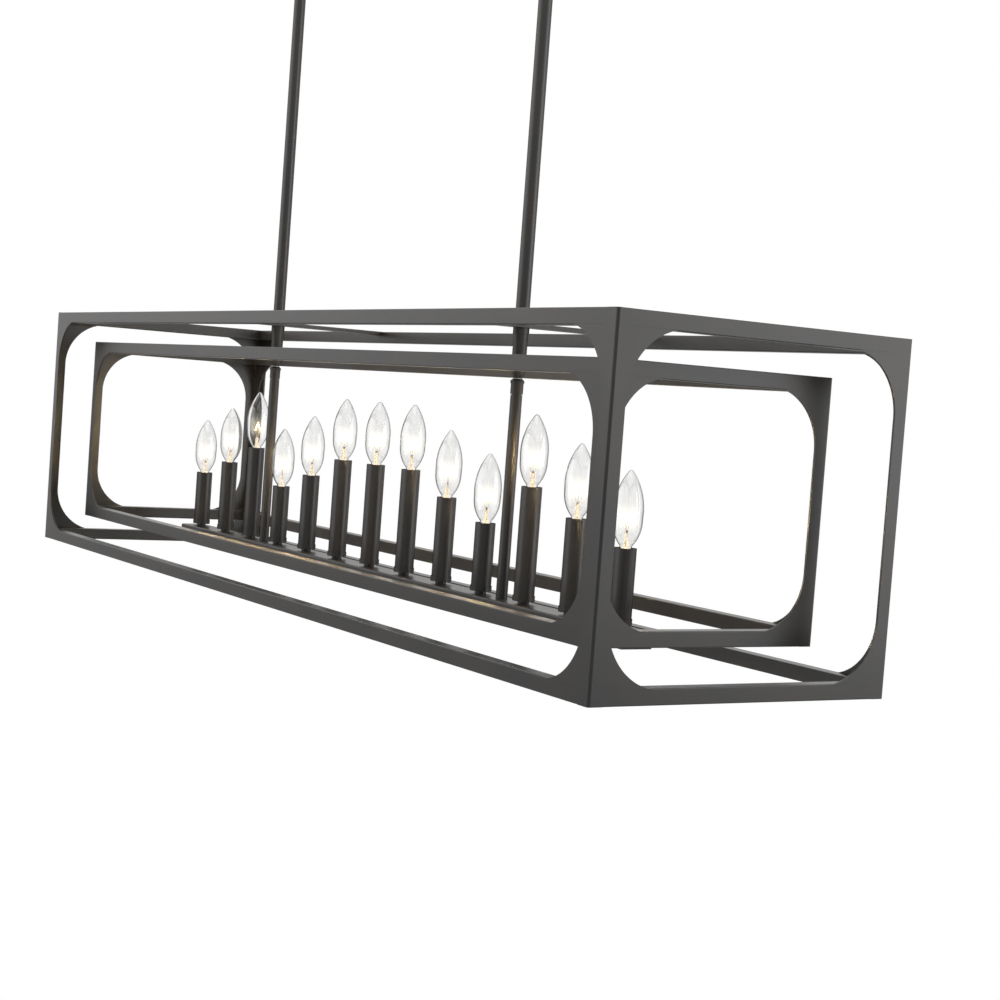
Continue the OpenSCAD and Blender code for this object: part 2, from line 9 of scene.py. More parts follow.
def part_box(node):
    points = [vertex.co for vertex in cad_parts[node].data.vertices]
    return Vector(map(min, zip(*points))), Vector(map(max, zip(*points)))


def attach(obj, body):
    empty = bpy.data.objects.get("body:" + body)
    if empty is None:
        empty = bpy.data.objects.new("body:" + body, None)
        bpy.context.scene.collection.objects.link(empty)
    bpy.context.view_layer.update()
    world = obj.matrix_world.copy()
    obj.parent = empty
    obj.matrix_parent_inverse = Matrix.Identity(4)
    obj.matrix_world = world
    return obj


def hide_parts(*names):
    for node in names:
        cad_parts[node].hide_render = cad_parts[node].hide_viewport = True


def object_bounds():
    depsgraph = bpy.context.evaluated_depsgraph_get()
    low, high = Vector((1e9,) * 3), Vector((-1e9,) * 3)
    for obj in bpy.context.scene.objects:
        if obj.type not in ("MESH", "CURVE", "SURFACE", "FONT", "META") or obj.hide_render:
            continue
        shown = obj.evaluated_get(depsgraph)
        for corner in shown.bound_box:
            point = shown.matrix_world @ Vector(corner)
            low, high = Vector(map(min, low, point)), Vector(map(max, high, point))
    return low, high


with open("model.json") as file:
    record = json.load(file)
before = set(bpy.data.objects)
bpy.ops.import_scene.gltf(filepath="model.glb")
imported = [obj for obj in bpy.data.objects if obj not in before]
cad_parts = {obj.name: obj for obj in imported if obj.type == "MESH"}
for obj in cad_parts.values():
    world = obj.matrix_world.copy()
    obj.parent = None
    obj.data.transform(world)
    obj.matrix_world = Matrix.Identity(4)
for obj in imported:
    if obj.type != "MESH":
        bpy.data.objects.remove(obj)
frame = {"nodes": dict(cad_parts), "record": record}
cad_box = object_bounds()

MM = 0.001
MERGE_WITHIN = 0.002
SLIVER_UNDER = 0.0005

# Lamps. Heights are in millimetres from the sleeve's top.
LAMPS = 13
LAMP_FOOT_BELOW_SLEEVE = 20.5
TURN_FROM_LAMP_TO_LAMP = 37

# Lamp glass
BELLY_R = 16.0
BELLY_Z = 38.0
NOSE_ARC_R = 70.0
NOSE_ARC_STEPS = 18
TIP_R = 3.0
TIP_ARC_STEPS = 8
SIDE_ARC_R = 214.0
SHOULDER_DROP = 13.0
FOOT_ARC_R = 40.0
FOOT_ARC_STEPS = 12
NECK_R = 6.3
NECK_FOOT_Z = -3.0
GLASS_WALL = 0.45

# Glass stem inside the lamp
STEM_SKIRT_R = 5.2
STEM_SKIRT_Z = -2.6
STEM_R = 2.3
STEM_TOP_Z = 12.5
PINCH_TOP_Z = 15.5
PINCH_RUN = 4
PINCH_WIDER = 0.25
PINCH_THINNER = 0.55
STEM_SIDES = 24
STEM_OUTSIDE = [(STEM_SKIRT_R, STEM_SKIRT_Z), (STEM_SKIRT_R - 0.8, -1.0), (3.4, 1.2),
                (STEM_R + 0.5, 4.0), (STEM_R, 7.0), (STEM_R, STEM_TOP_Z - 2.5),
                (STEM_R + 0.2, STEM_TOP_Z), (STEM_R + 0.1, PINCH_TOP_Z - 1.0),
                (STEM_R - 0.7, PINCH_TOP_Z), (0, PINCH_TOP_Z + 0.2)]
STEM_INSIDE = [(STEM_SKIRT_R, STEM_SKIRT_Z), (STEM_SKIRT_R - 1.6, STEM_SKIRT_Z),
               (STEM_R - 0.8, 3.0), (STEM_R - 0.9, STEM_TOP_Z - 4), (0, STEM_TOP_Z - 3)]

# Leads, their bead and the coil's support
LEAD_R = 0.32
LEAD_FOOT_X = 1.2
LEAD_FOOT_Z = 2
LEAD_PINCH_X = 1.5
LEAD_SPREAD = 4.8
LEAD_TOP_Z = 25.0
CLAMP_IN = 0.2
CLAMP_RISE = 1
SUPPORT_R = 0.18
SUPPORT_SIDES = 6
SUPPORT_SUNK = 1.5
SUPPORT_LEAN = 0.3
BEAD_R = 0.8
BEAD_TOP_Z = 18.0
BEAD_SIDES = 16
BEAD_OUTLINE = [(0, PINCH_TOP_Z - 1.2), (BEAD_R, PINCH_TOP_Z - 0.6),
                (BEAD_R * 1.1, BEAD_TOP_Z - 1.0), (BEAD_R * 0.6, BEAD_TOP_Z - 0.2),
                (0, BEAD_TOP_Z)]

# Coil
PEAK_Z = 36.5
COIL_R = 0.55
COIL_WIRE_R = 0.14
COIL_WIRE_SIDES = 4
COIL_TURNS = 13
COIL_STEPS = 8
COIL_FOOT_RISE = 0.6

# Lamp base
BASE_SIDES = 32
BASE_R = 5.95
BASE_TOP_Z = -3.0
BASE_FOOT_Z = -19.0
SHELL_MOUTH_R = NECK_R - 1.2
SHELL_COLLAR = 1.5
SHELL_FLOOR_DROP = 1.0
THREAD_DEPTH = 0.45
THREAD_PITCH = 2.54
THREAD_POINTS = 8
UNTHREADED = 3
INSULATOR_TOP = (BASE_R - 2.0, BASE_FOOT_Z + 0.2)
CONTACT_R = 3.0
CONTACT_TOP = (CONTACT_R, BASE_FOOT_Z - 0.6)
CONTACT_FOOT_Z = -20.35

# Frame rails and corner plates
TUBE = 16.0
PLATE_T = 2.5
ARC_PAST = 2.0
OUTER_ARC_R = 65.0
INNER_ARC_R = 60.0
ARC_STEPS = 40
WELD_IN = 1.1

# Looks of the coat and the glass. Edge-on values run from 0, seen flat, to 1, seen edge on.
COAT_IOR = 1.5
# Painted shade on round parts: the coat's gloss fades from this level to none between the two
# edge-on values below.
COAT_GLOSS = 0.5
PAINTED_SHADE_START = 0.42
PAINTED_SHADE_FULL = 0.78
GLASS_IOR = 1.45
STEM_IOR = 1.55
# Painted shade: the glass tint greys towards its rim, and a share of grey see-through is blended in
# there, which draws its outline.
GLASS_TINT_AND_EDGE_SHADE = ((0.02, 0.935), (0.32, 0.89), (0.47, 0.62), (0.62, 0.2))
OUTLINE_SHADE_LOSS = 0.6
OUTLINE_SHADE_START = 0.42
OUTLINE_SHADE_FULL = 0.66
OUTLINE_SHADE_GREY = (0.2, 0.2, 0.2)
CLEAR = (0.97, 0.97, 0.96)
# Painted glow: the glass itself emits round the coil's height, most where it is seen face on.
GLASS_PAINTED_GLOW = 0.15
GLOW_COLOUR = (1.0, 0.88, 0.64, 1)
GLOW_Z = 31.0
GLOW_REACH = 9.0
PAINTED_GLOW_GONE_AT = 0.17
# Painted glints: gold specks glowing in the stem glass.
STEM_PAINTED_GLOW = 0.75
STEM_GLINTS_FROM = 0.46
STEM_GLINTS_FULL = 0.62
COIL_GLOW = 1200.0
COIL_BASE = (0.2, 0.2, 0.2, 1)


# Building blocks


def circle_part(centre, radius, start, end, steps):
    """Points of an arc, from the start angle to the end angle in degrees."""
    points = []
    for k in range(steps + 1):
        angle = math.radians(start + (end - start) * k / steps)
        points.append((centre[0] + radius * math.cos(angle),
                       centre[1] + radius * math.sin(angle)))
    return points


def lathe(bm, outline, steps=48, slot=0):
    """Spins an outline of (radius, height) in millimetres round the Z axis."""
    verts = [bm.verts.new((r * MM, 0, z * MM)) for r, z in outline]
    edges = [bm.edges.new(pair) for pair in zip(verts, verts[1:])]
    before = set(bm.faces)
    bmesh.ops.spin(bm, geom=verts + edges, cent=(0, 0, 0), axis=(0, 0, 1),
                   angle=math.tau, steps=steps, use_merge=True)
    for face in set(bm.faces) - before:
        face.material_index = slot
        face.smooth = True


def weld_up(bm):
    """Closes seams and poles, then turns all faces outwards."""
    bmesh.ops.remove_doubles(bm, verts=bm.verts, dist=MERGE_WITHIN * MM)
    bmesh.ops.dissolve_degenerate(bm, edges=bm.edges, dist=SLIVER_UNDER * MM)
    bmesh.ops.recalc_face_normals(bm, faces=bm.faces)


def wire(bm, start, end, radius, sides=8):
    """A round wire between two points, in millimetres."""
    a = Vector(start) * MM
    b = Vector(end) * MM
    turn = (b - a).to_track_quat("Z", "Y").to_matrix().to_4x4()
    made = bmesh.ops.create_cone(bm, cap_ends=True, segments=sides, radius1=radius * MM,
                                 radius2=radius * MM, depth=(b - a).length,
                                 matrix=Matrix.Translation((a + b) / 2) @ turn)
    for face in {f for v in made["verts"] for f in v.link_faces}:
        face.smooth = True


def add_to(target, part):
    """Adds a part's mesh to the target's, and frees the part."""
    scratch = bpy.data.meshes.new("scratch")
    part.to_mesh(scratch)
    part.free()
    target.from_mesh(scratch)
    bpy.data.meshes.remove(scratch)


def as_object(name, bm, materials):
    """Puts a finished mesh into the scene."""
    mesh = bpy.data.meshes.new(name)
    bm.to_mesh(mesh)
    bm.free()
    for material in materials:
        mesh.materials.append(material)
    thing = bpy.data.objects.new(name, mesh)
    bpy.context.scene.collection.objects.link(thing)
    return thing


def piece(name, bm, materials, body):
    """Makes the finished mesh a piece that rides on a body."""
    thing = as_object(name, bm, materials)
    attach(thing, body)
    return thing


# Nodes of the finishes


def new_finish(name):
    """An empty finish, with its nodes, its links and its main shader."""
    finish = bpy.data.materials.new(name)
    finish.use_nodes = True
    tree = finish.node_tree
    return finish, tree.nodes, tree.links, tree.nodes["Principled BSDF"]


def noise_on(nodes, links, scale, detail, stretch=(1.0, 1.0, 1.0)):
    """Noise in object space: features per metre, times the stretch along X, Y and Z."""
    place = nodes.new("ShaderNodeTexCoord")
    squeeze = nodes.new("ShaderNodeMapping")
    squeeze.inputs["Scale"].default_value = stretch
    noise = nodes.new("ShaderNodeTexNoise")
    noise.inputs["Scale"].default_value = scale
    noise.inputs["Detail"].default_value = detail
    links.new(place.outputs["Object"], squeeze.inputs["Vector"])
    links.new(squeeze.outputs["Vector"], noise.inputs["Vector"])
    return noise.outputs["Fac"]


def spread(nodes, links, value, low, high, start=0.3, end=0.7, run="LINEAR"):
    """Maps the span from start to end, which by default is that of noise, to low and high."""
    ranged = nodes.new("ShaderNodeMapRange")
    ranged.interpolation_type = run
    ranged.inputs["From Min"].default_value = start
    ranged.inputs["From Max"].default_value = end
    ranged.inputs["To Min"].default_value = low
    ranged.inputs["To Max"].default_value = high
    links.new(value, ranged.inputs["Value"])
    return ranged.outputs["Result"]


def two_tones(nodes, links, value, dark, light):
    """Colours noise from a dark tone to a light one."""
    ramp = nodes.new("ShaderNodeValToRGB")
    for stop, place, tone in zip(ramp.color_ramp.elements, (0.3, 0.7), (dark, light)):
        stop.position = place
        stop.color = (*tone, 1)
    links.new(value, ramp.inputs["Fac"])
    return ramp.outputs["Color"]


def rough_skin(nodes, links, shader, value, height_mm, strength):
    """Fine bumps on the surface."""
    bump = nodes.new("ShaderNodeBump")
    bump.inputs["Distance"].default_value = height_mm * MM
    bump.inputs["Strength"].default_value = strength
    links.new(value, bump.inputs["Height"])
    links.new(bump.outputs["Normal"], shader.inputs["Normal"])


def worked_out(nodes, links, operation, first, second, clamp=False):
    """One number from two."""
    math_node = nodes.new("ShaderNodeMath")
    math_node.operation = operation
    math_node.use_clamp = clamp
    links.new(first, math_node.inputs[0])
    links.new(second, math_node.inputs[1])
    return math_node.outputs["Value"]


def blended(nodes, links, share, first, second):
    """The first shader, with a share of the second."""
    blend = nodes.new("ShaderNodeMixShader")
    links.new(share, blend.inputs["Fac"])
    links.new(first, blend.inputs[1])
    links.new(second, blend.inputs[2])
    return blend.outputs["Shader"]


def see_through(nodes, colour):
    """A shader that only tints what is behind it."""
    film = nodes.new("ShaderNodeBsdfTransparent")
    film.inputs["Color"].default_value = (*colour, 1)
    return film.outputs["BSDF"]


def clouded_finish(name, scale, detail, dark, light, roughness, metallic=0.0):
    """A finish that drifts between two tones, and between two roughnesses where two are given."""
    finish, nodes, links, shader = new_finish(name)
    cloud = noise_on(nodes, links, scale, detail)
    links.new(two_tones(nodes, links, cloud, dark, light), shader.inputs["Base Color"])
    if isinstance(roughness, tuple):
        links.new(spread(nodes, links, cloud, *roughness), shader.inputs["Roughness"])
    else:
        shader.inputs["Roughness"].default_value = roughness
    shader.inputs["Metallic"].default_value = metallic
    return finish, nodes, links, shader


# Finishes


def dark_bronze_coat(name="dark_bronze_coat", painted_dark_rim=False):
    """Satin dark bronze powder coat: fine orange peel with a slow drift of tone.

    On round parts its gloss is taken away where it is seen edge on, a painted shade that draws a
    dark line round them.
    """
    finish, nodes, links, shader = new_finish(name)
    drift = noise_on(nodes, links, scale=9, detail=3)
    tone = two_tones(nodes, links, drift,
                     dark=(0.0165, 0.0162, 0.0158), light=(0.0275, 0.0225, 0.0175))
    links.new(tone, shader.inputs["Base Color"])
    grain = noise_on(nodes, links, scale=900, detail=2)
    links.new(spread(nodes, links, grain, 0.3, 0.38), shader.inputs["Roughness"])
    rough_skin(nodes, links, shader, grain, height_mm=0.02, strength=0.3)
    shader.inputs["IOR"].default_value = COAT_IOR
    # Painted shade: the gloss fades out edge on, which draws a dark rim on round parts.
    if painted_dark_rim:
        edge_on = nodes.new("ShaderNodeLayerWeight")
        edge_on.inputs["Blend"].default_value = 0.5
        gloss = spread(nodes, links, edge_on.outputs["Facing"], COAT_GLOSS, 0.0,
                       PAINTED_SHADE_START, PAINTED_SHADE_FULL, "SMOOTHSTEP")
        links.new(gloss, shader.inputs["Specular IOR Level"])
    return finish


def plated_steel():
    """Zinc-plated steel of the inner hardware."""
    finish, nodes, links, shader = clouded_finish(
        "plated_steel", scale=160, detail=4, dark=(0.5, 0.5, 0.49), light=(0.64, 0.65, 0.66),
        roughness=(0.28, 0.42), metallic=1.0)
    grain = noise_on(nodes, links, scale=1400, detail=2)
    rough_skin(nodes, links, shader, grain, height_mm=0.01, strength=0.3)
    return finish


def green_screw_coat():
    """Green dye on the ground screw."""
    return clouded_finish(
        "green_screw_coat", scale=500, detail=3, dark=(0.03, 0.2, 0.07), light=(0.05, 0.28, 0.1),
        roughness=(0.25, 0.4), metallic=0.7)[0]


def socket_shell():
    """Moulded phenolic of the lamp sockets."""
    return clouded_finish(
        "socket_shell", scale=300, detail=3, dark=(0.62, 0.6, 0.54), light=(0.7, 0.68, 0.62),
        roughness=(0.4, 0.55))[0]


def brass_base():
    """Rolled brass of the lamp bases."""
    return clouded_finish(
        "brass_base", scale=400, detail=3, dark=(0.6, 0.42, 0.18), light=(0.72, 0.52, 0.25),
        roughness=(0.2, 0.35), metallic=1.0)[0]


def black_glass():
    """Insulating glass at the foot of the lamp bases."""
    return clouded_finish(
        "black_glass", scale=500, detail=2, dark=(0.01, 0.01, 0.012), light=(0.02, 0.02, 0.024),
        roughness=0.1)[0]


def seal_bead():
    """Dark bead where the leads leave the stem."""
    return clouded_finish(
        "seal_bead", scale=900, detail=2, dark=(0.03, 0.022, 0.015), light=(0.08, 0.06, 0.04),
        roughness=0.35)[0]


def lead_metal():
    """Nickel of the lead and support wires."""
    return clouded_finish(
        "lead_metal", scale=800, detail=3, dark=(0.42, 0.36, 0.26), light=(0.6, 0.54, 0.42),
        roughness=0.3, metallic=1.0)[0]


def painted_outline_shade(nodes, links, surface, edge_on):
    """Painted shade: thin glass is darkened where it is seen edge on, which draws its outline."""
    outline_shade_share = spread(nodes, links, edge_on, 0.0, OUTLINE_SHADE_LOSS, OUTLINE_SHADE_START, OUTLINE_SHADE_FULL, "SMOOTHSTEP")
    return blended(nodes, links, outline_shade_share, surface, see_through(nodes, OUTLINE_SHADE_GREY))


def let_light_out(nodes, links, surface):
    """Shadow rays pass straight through, so that the lit coil lights the metal around."""
    rays = nodes.new("ShaderNodeLightPath")
    lit = blended(nodes, links, rays.outputs["Is Shadow Ray"], surface, see_through(nodes, CLEAR))
    links.new(lit, nodes["Material Output"].inputs["Surface"])


def lamp_glass():
    """Thin clear blown glass, with painted grey shade where it is seen edge on and a painted glow
    round the coil.
    """
    finish, nodes, links, shader = new_finish("lamp_glass")
    edge_on = nodes.new("ShaderNodeLayerWeight")
    edge_on.inputs["Blend"].default_value = 0.3
    # Painted shade: the glass tint greys as it is seen more edge on.
    tint = nodes.new("ShaderNodeValToRGB")
    tint.color_ramp.interpolation = "EASE"
    stops = tint.color_ramp.elements
    for place, grey in GLASS_TINT_AND_EDGE_SHADE:
        stops.new(place).color = (grey, grey * 0.998, grey * 0.99, 1)
    stops.remove(stops[0])
    stops.remove(stops[-1])
    links.new(edge_on.outputs["Facing"], tint.inputs["Fac"])
    streak = noise_on(nodes, links, scale=220, detail=2, stretch=(1.0, 1.0, 0.1))
    cloud = two_tones(nodes, links, streak, dark=(0.96, 0.96, 0.96), light=(1.0, 1.0, 1.0))
    streaked = nodes.new("ShaderNodeMix")
    streaked.data_type = "RGBA"
    streaked.blend_type = "MULTIPLY"
    streaked.inputs["Factor"].default_value = 1.0
    links.new(tint.outputs["Color"], streaked.inputs["A"])
    links.new(cloud, streaked.inputs["B"])
    links.new(streaked.outputs["Result"], shader.inputs["Base Color"])
    shader.inputs["Transmission Weight"].default_value = 1.0
    shader.inputs["Roughness"].default_value = 0.0
    shader.inputs["IOR"].default_value = GLASS_IOR
    # Painted glow on the glass round the coil, fading with height from it and towards the rim.
    painted_glow_share = nodes.new("ShaderNodeAttribute")
    painted_glow_share.attribute_name = "painted_glow_share"
    painted_glow_face_on = nodes.new("ShaderNodeValToRGB")
    painted_glow_face_on.color_ramp.interpolation = "EASE"
    painted_glow_face_on.color_ramp.elements[0].position = 0.0
    painted_glow_face_on.color_ramp.elements[0].color = (1, 1, 1, 1)
    painted_glow_face_on.color_ramp.elements[1].position = PAINTED_GLOW_GONE_AT
    painted_glow_face_on.color_ramp.elements[1].color = (0, 0, 0, 1)
    links.new(edge_on.outputs["Facing"], painted_glow_face_on.inputs["Fac"])
    glow = worked_out(nodes, links, "MULTIPLY", painted_glow_share.outputs["Fac"], painted_glow_face_on.outputs["Color"])
    shader.inputs["Emission Color"].default_value = GLOW_COLOUR
    links.new(spread(nodes, links, glow, 0.0, GLASS_PAINTED_GLOW, start=0.0, end=1.0),
              shader.inputs["Emission Strength"])
    let_light_out(nodes, links,
                  painted_outline_shade(nodes, links, shader.outputs["BSDF"], edge_on.outputs["Facing"]))
    return finish


def stem_glass():
    """Glass of the inner stem, full of painted gold glints that stand in for the coil's light seen
    through it.
    """
    finish, nodes, links, shader = new_finish("stem_glass")
    cloud = noise_on(nodes, links, scale=1100, detail=1)
    links.new(two_tones(nodes, links, cloud, dark=(0.4, 0.33, 0.22), light=(0.97, 0.95, 0.9)),
              shader.inputs["Base Color"])
    shader.inputs["Transmission Weight"].default_value = 1.0
    shader.inputs["Roughness"].default_value = 0.02
    shader.inputs["IOR"].default_value = STEM_IOR
    rough_skin(nodes, links, shader, cloud, height_mm=0.3, strength=0.4)
    # Painted glints: specks of the stem glass glow gold, standing in for the coil's light.
    painted_glints = noise_on(nodes, links, scale=1200, detail=1)
    links.new(two_tones(nodes, links, painted_glints, dark=(1.0, 0.62, 0.28), light=(1.0, 0.88, 0.68)),
              shader.inputs["Emission Color"])
    links.new(spread(nodes, links, painted_glints, 0.0, STEM_PAINTED_GLOW, STEM_GLINTS_FROM, STEM_GLINTS_FULL),
              shader.inputs["Emission Strength"])
    let_light_out(nodes, links, shader.outputs["BSDF"])
    return finish


def lit_coil():
    """The glowing coil."""
    finish, nodes, links, shader = new_finish("lit_coil")
    cloud = noise_on(nodes, links, scale=900, detail=2)
    links.new(two_tones(nodes, links, cloud, dark=(1.0, 0.67, 0.26), light=(1.0, 0.75, 0.36)),
              shader.inputs["Emission Color"])
    shader.inputs["Base Color"].default_value = COIL_BASE
    shader.inputs["Emission Strength"].default_value = COIL_GLOW
    return finish


BRONZE = dark_bronze_coat()
# Round parts get a copy of the coat with a painted dark rim where they are seen edge on.
RIM_SHADED_BRONZE = dark_bronze_coat("round_bronze_painted_rim", painted_dark_rim=True)
STEEL = plated_steel()
GREEN = green_screw_coat()
SHELL = socket_shell()
BRASS = brass_base()
BLACK_GLASS = black_glass()
GLASS = lamp_glass()
STEM_GLASS = stem_glass()
BEAD = seal_bead()
LEAD = lead_metal()
COIL = lit_coil()

NODE_FINISHES = {"dark_bronze": BRONZE, "plated_steel": STEEL, "green_screw": GREEN,
                 "socket_shell": SHELL}
ROUND_NAMES = ("swivel", "rod", "stem", "spacer", "collar", "cone", "neck", "cup", "sleeve",
               "cap_nut")
for part in frame["record"]["subparts"]:
    finish = NODE_FINISHES.get(part["material_slot"])
    if finish == BRONZE and any(word in part["node"] for word in ROUND_NAMES):
        finish = RIM_SHADED_BRONZE
    if finish:
        node_mesh = frame["nodes"][part["node"]].data
        node_mesh.materials.clear()
        node_mesh.materials.append(finish)


# Corner plates of the two frames, each with the ground-down weld that runs onto its rail


def corner_plate(arc_r):
    """One plate, its face in the XZ plane, its post on the left and its rail below, facing -Y."""
    rise = arc_r - ARC_PAST
    low_angle = -90 - math.degrees(math.acos((rise + WELD_IN) / arc_r))
    arc = circle_part((arc_r, rise), arc_r, 180.0, 360 + low_angle, ARC_STEPS)
    outline = [(0, -WELD_IN)] + arc[::-1]
    bm = bmesh.new()
    verts = [bm.verts.new((x * MM, 0, z * MM)) for x, z in outline]
    face = bm.faces.new(verts)
    face.normal_update()
    bmesh.ops.triangulate(bm, faces=[face])
    grown = bmesh.ops.extrude_face_region(bm, geom=bm.faces[:])
    bmesh.ops.translate(bm, vec=(0, PLATE_T * MM, 0),
                        verts=[g for g in grown["geom"] if isinstance(g, bmesh.types.BMVert)])
    bmesh.ops.recalc_face_normals(bm, faces=bm.faces)
    return bm


def side_of_plates(target, arc_r, low, high, turn):
    """Four plates in the corners of one upright side, put in place by a turn about Z."""
    for left in (True, False):
        for bottom in (True, False):
            one = corner_plate(arc_r)
            bmesh.ops.scale(one, vec=(1 if left else -1, 1, 1 if bottom else -1), verts=one.verts)
            corner = (low[0] if left else high[0], low[1], low[2] if bottom else high[2])
            bmesh.ops.translate(one, vec=corner, verts=one.verts)
            bmesh.ops.recalc_face_normals(one, faces=one.faces)
            bmesh.ops.transform(one, matrix=Matrix.Rotation(turn, 4, "Z"), verts=one.verts)
            add_to(target, one)


def frame_plates(which, arc_r):
    """All sixteen plates of one frame."""
    low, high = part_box(which + "_posts")
    inset = TUBE * MM
    half_l, half_w = high[0], high[1]
    foot, top = low[2] + inset, high[2] - inset
    bm = bmesh.new()
    for half_side, depth, turns in ((half_l, half_w, (0, math.pi)),
                                    (half_w, half_l, (math.pi / 2, -math.pi / 2))):
        for turn in turns:
            side_of_plates(bm, arc_r, (-half_side + inset, -depth, foot),
                           (half_side - inset, -depth, top), turn)
    plates = piece(which + "_welded_plates", bm, [BRONZE], "fixture")
    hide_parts(which + "_corner_plates")


frame_plates("outer", OUTER_ARC_R)
frame_plates("inner", INNER_ARC_R)


# Lamps


def set_on_sleeve(bm, x, sleeve_z, turn=0.0):
    """Turns a part of a lamp about its axis and sets it on its sleeve."""
    bmesh.ops.transform(bm, matrix=Matrix.Rotation(turn, 4, "Z"), verts=bm.verts)
    bmesh.ops.translate(bm, vec=(x, 0, sleeve_z), verts=bm.verts)


def glass_side(skin):
    """The glass outline from the neck to the tip, drawn a skin's depth inside the outer face."""
    belly = (BELLY_R - NOSE_ARC_R, BELLY_Z)
    tip_rise = math.sqrt((NOSE_ARC_R - TIP_R) ** 2 - belly[0] ** 2)
    tip = (0.0, BELLY_Z + tip_rise)
    nose_angle = math.degrees(math.atan2(tip_rise, -belly[0]))
    side_angle = math.degrees(math.asin(SHOULDER_DROP / SIDE_ARC_R))
    reach = SIDE_ARC_R - FOOT_ARC_R
    foot = (BELLY_R - SIDE_ARC_R + reach * math.cos(math.radians(side_angle)),
            BELLY_Z - reach * math.sin(math.radians(side_angle)))
    foot_angle = math.degrees(math.acos((NECK_R - foot[0]) / FOOT_ARC_R))
    outline = [(NECK_R - skin, NECK_FOOT_Z)]
    outline += circle_part(foot, FOOT_ARC_R - skin, -foot_angle, -side_angle, FOOT_ARC_STEPS)
    outline += circle_part(belly, NOSE_ARC_R - skin, 0, nose_angle, NOSE_ARC_STEPS)
    outline += circle_part(tip, TIP_R - skin, nose_angle, 90, TIP_ARC_STEPS)[1:]
    return outline


def lamp_envelope(name, body, x, sleeve_z):
    """The blown glass with its wall. The share of painted glow on it fades with the height from the
    coil.
    """
    bm = bmesh.new()
    lathe(bm, glass_side(0)[::-1] + glass_side(GLASS_WALL))
    weld_up(bm)
    # Share of painted glow, highest at the coil's height.
    painted_glow_share = bm.verts.layers.float.new("painted_glow_share")
    for vert in bm.verts:
        vert[painted_glow_share] = math.exp(-((vert.co.z / MM - GLOW_Z) / GLOW_REACH) ** 2)
    set_on_sleeve(bm, x, sleeve_z)
    return piece(name, bm, [GLASS], body)


def lamp_stem(name, body, x, sleeve_z, turn):
    """The flared glass stem with its flat pinch, inside the envelope."""
    bm = bmesh.new()
    lathe(bm, STEM_OUTSIDE, STEM_SIDES)
    lathe(bm, STEM_INSIDE, STEM_SIDES)
    weld_up(bm)
    for vert in bm.verts:
        flat = min(max((vert.co.z / MM - STEM_TOP_Z + PINCH_RUN) / PINCH_RUN, 0), 1)
        vert.co.x *= 1 + PINCH_WIDER * flat
        vert.co.y *= 1 - PINCH_THINNER * flat
    set_on_sleeve(bm, x, sleeve_z, turn)
    return piece(name, bm, [STEM_GLASS], body)


def lamp_wires(name, body, x, sleeve_z, turn):
    """Two leads, the bead that holds them and a leaning support wire."""
    bm = bmesh.new()
    for side in (-1, 1):
        foot = (side * LEAD_FOOT_X, 0, LEAD_FOOT_Z)
        pinch = (side * LEAD_PINCH_X, 0, PINCH_TOP_Z)
        bend = (side * LEAD_SPREAD, 0, LEAD_TOP_Z)
        clamp = (side * (LEAD_SPREAD - CLAMP_IN), 0, LEAD_TOP_Z + CLAMP_RISE)
        for start, end in ((foot, pinch), (pinch, bend), (bend, clamp)):
            wire(bm, start, end, LEAD_R)
    wire(bm, (0, 0, PINCH_TOP_Z - SUPPORT_SUNK), (0, SUPPORT_LEAN, PEAK_Z),
         SUPPORT_R, SUPPORT_SIDES)
    lathe(bm, BEAD_OUTLINE, BEAD_SIDES, 1)
    weld_up(bm)
    set_on_sleeve(bm, x, sleeve_z, turn)
    return piece(name, bm, [LEAD, BEAD], body)


def lamp_coil(name, body, x, sleeve_z, turn):
    """The lit coil: two straight windings that meet at the support."""
    bm = bmesh.new()
    peak = Vector((0, 0, PEAK_Z)) * MM
    steps = COIL_TURNS * COIL_STEPS
    for side in (-1, 1):
        foot = Vector((side * (LEAD_SPREAD - CLAMP_IN), 0, LEAD_TOP_Z + COIL_FOOT_RISE)) * MM
        along = peak - foot
        one = bmesh.new()
        ring = bmesh.ops.create_circle(one, segments=COIL_WIRE_SIDES,
                                       radius=COIL_WIRE_R * MM)["verts"]
        bmesh.ops.rotate(one, cent=(0, 0, 0), matrix=Matrix.Rotation(math.pi / 2, 3, "X"),
                         verts=ring)
        bmesh.ops.translate(one, vec=(COIL_R * MM, 0, 0), verts=ring)
        bmesh.ops.spin(one, geom=one.verts[:] + one.edges[:], cent=(0, 0, 0), axis=(0, 0, 1),
                       dvec=(0, 0, along.length / steps), angle=math.tau * COIL_TURNS,
                       steps=steps)
        bmesh.ops.holes_fill(one, edges=one.edges, sides=COIL_WIRE_SIDES)
        bmesh.ops.recalc_face_normals(one, faces=one.faces)
        lean = along.to_track_quat("Z", "Y").to_matrix().to_4x4()
        bmesh.ops.transform(one, matrix=Matrix.Translation(foot) @ lean, verts=one.verts)
        add_to(bm, one)
    set_on_sleeve(bm, x, sleeve_z, turn)
    return piece(name, bm, [COIL], body)


